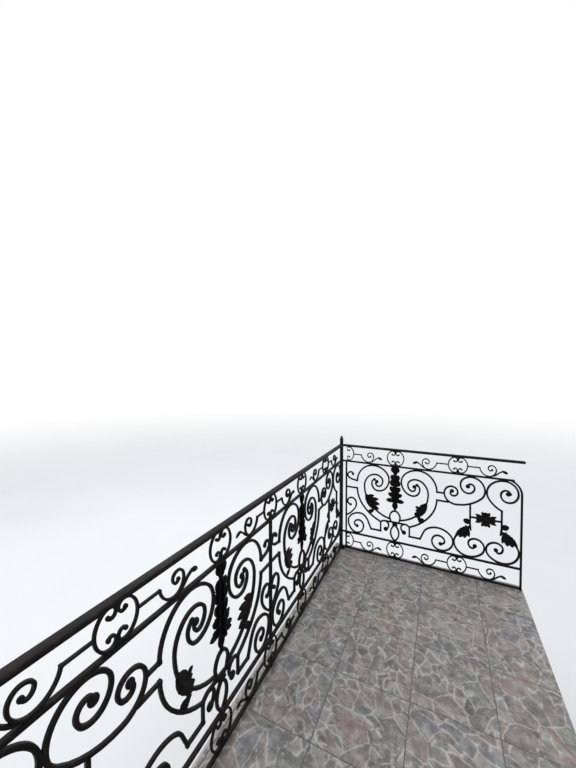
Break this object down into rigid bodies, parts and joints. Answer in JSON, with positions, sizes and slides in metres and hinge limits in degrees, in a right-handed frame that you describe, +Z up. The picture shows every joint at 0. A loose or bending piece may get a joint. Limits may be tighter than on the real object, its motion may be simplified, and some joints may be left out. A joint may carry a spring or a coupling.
{
  "type": "iron balcony",
  "caption": "Tiled slab on iron brackets, fenced on three sides by wrought railings of scrolls, leaves and ringed friezes under a flat handrail.",
  "frame": {"origin": "middle of the slab's back face, where the balcony meets the wall", "axes": "+X along the wall, +Y into the wall, +Z up; the street side is -Y"},
  "size_m": [5.93, 1.561, 1.725],
  "materials": {
    "black_iron": "satin black paint over wrought iron",
    "slab_concrete": "rendered concrete",
    "floor_tile": "matt stone-look tiles"
  },
  "bodies": {
    "root": {"floor_slab": "slab_concrete", "slab_nosing": "slab_concrete", "tile_floor": "floor_tile", "bracket_1": "black_iron", "bracket_2": "black_iron", "bracket_3": "black_iron", "bracket_4": "black_iron", "bracket_5": "black_iron", "handrail": "black_iron", "upper_rail": "black_iron", "lower_rail": "black_iron", "bottom_rail": "black_iron", "corner_post_left": "black_iron", "centre_post": "black_iron", "corner_post_right": "black_iron", "mid_posts": "black_iron", "front_stiles": "black_iron", "side_stiles_left": "black_iron", "side_stiles_right": "black_iron", "front_panel_1": "black_iron", "front_panel_2": "black_iron", "front_panel_3": "black_iron", "front_panel_4": "black_iron", "side_panel_left": "black_iron", "side_panel_right": "black_iron", "top_frieze_front_left": "black_iron", "top_frieze_front_right": "black_iron", "top_frieze_side_left": "black_iron", "top_frieze_side_right": "black_iron", "bottom_frieze_front_left": "black_iron", "bottom_frieze_front_right": "black_iron", "bottom_frieze_side_left": "black_iron", "bottom_frieze_side_right": "black_iron"}
  },
  "joints": []
}
